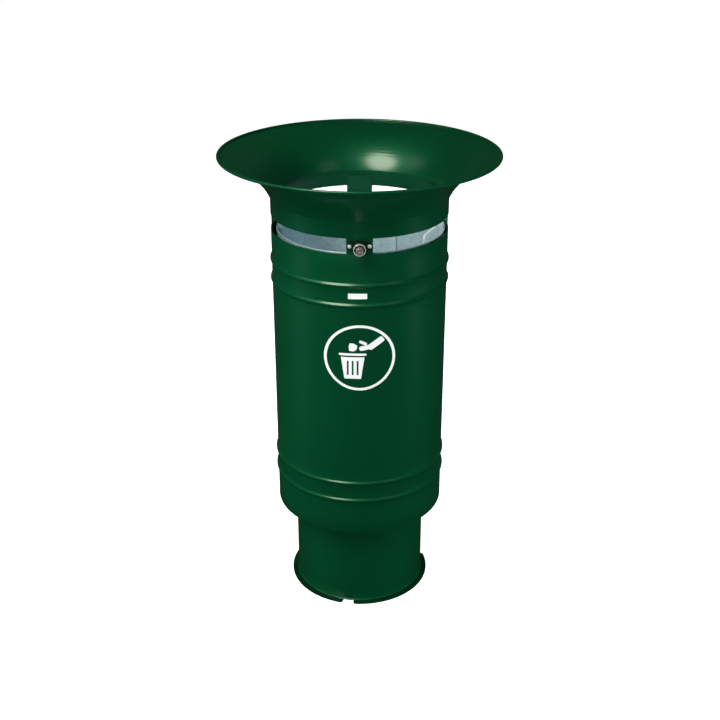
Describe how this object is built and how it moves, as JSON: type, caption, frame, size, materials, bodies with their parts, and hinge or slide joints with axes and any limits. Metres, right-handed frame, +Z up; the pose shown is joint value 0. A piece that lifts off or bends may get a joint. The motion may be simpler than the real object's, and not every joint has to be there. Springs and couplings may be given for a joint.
{
  "type": "litter bin",
  "caption": "Round street litter bin on a flanged foot, with a flared funnel hood hinged at the back, a key lock at the front and a lift-out metal liner with wire handles",
  "frame": {"origin": "centre of the base flange's underside on the ground", "axes": "+Z up along the bin's axis, lock and front at -Y, hinge at the back at +Y, +X to the right seen from the front"},
  "size_m": [0.58, 0.58, 1.0065],
  "materials": {
    "coated_green": "semi-gloss polyester powder coat on steel",
    "galvanised": "hot-dip galvanised sheet",
    "bright_zinc": "bright zinc plate",
    "lock_zinc": "die-cast zinc, dull",
    "lock_black": "dark coated die-cast housing",
    "label_white": "matt vinyl film"
  },
  "bodies": {
    "body": {"body_shell": "coated_green", "body_floor": "coated_green", "foot_tube": "coated_green", "base_flange": "coated_green", "latch_keeper": "coated_green", "hinge_bracket": "coated_green", "hinge_rivets": "coated_green", "hinge_pin": "bright_zinc", "hinge_cap": "bright_zinc", "label_plate": "label_white", "pictogram": "label_white"},
    "hood": {"funnel": "coated_green", "rim_wire": "bright_zinc", "neck_band": "coated_green", "front_tongue": "coated_green", "left_tongue": "coated_green", "right_tongue": "coated_green", "rear_arm": "coated_green", "hood_knuckle": "coated_green", "lock_housing": "lock_black", "lock_ring": "bright_zinc", "lock_screws": "bright_zinc"},
    "lock": {"lock_rotor": "lock_zinc", "lock_cam": "bright_zinc"},
    "liner": {"liner_wall": "galvanised", "liner_rim_wire": "bright_zinc", "liner_base": "galvanised", "handle_guides": "galvanised"},
    "right_bail": {"right_handle": "galvanised", "right_collars": "galvanised"},
    "left_bail": {"left_handle": "galvanised", "left_collars": "galvanised"}
  },
  "joints": [
    {"name": "hood_hinge", "type": "hinge", "parent": "body", "child": "hood", "pos_m": [0, 0.1855, 0.866], "axis": [-1, 0, 0], "range_deg": [0, 100]},
    {"name": "lock_turn", "type": "hinge", "parent": "hood", "child": "lock", "pos_m": [0, -0.19, 0.867], "axis": [0, -1, 0], "range_deg": [0, 90]},
    {"name": "liner_lift", "type": "slide", "parent": "body", "child": "liner", "axis": [0, 0, 1], "range_m": [0, 0.65]},
    {"name": "right_handle_lift", "type": "slide", "parent": "liner", "child": "right_bail", "axis": [0, 0, 1], "range_m": [0, 0.018]},
    {"name": "left_handle_lift", "type": "slide", "parent": "liner", "child": "left_bail", "axis": [0, 0, 1], "range_m": [0, 0.018]}
  ]
}
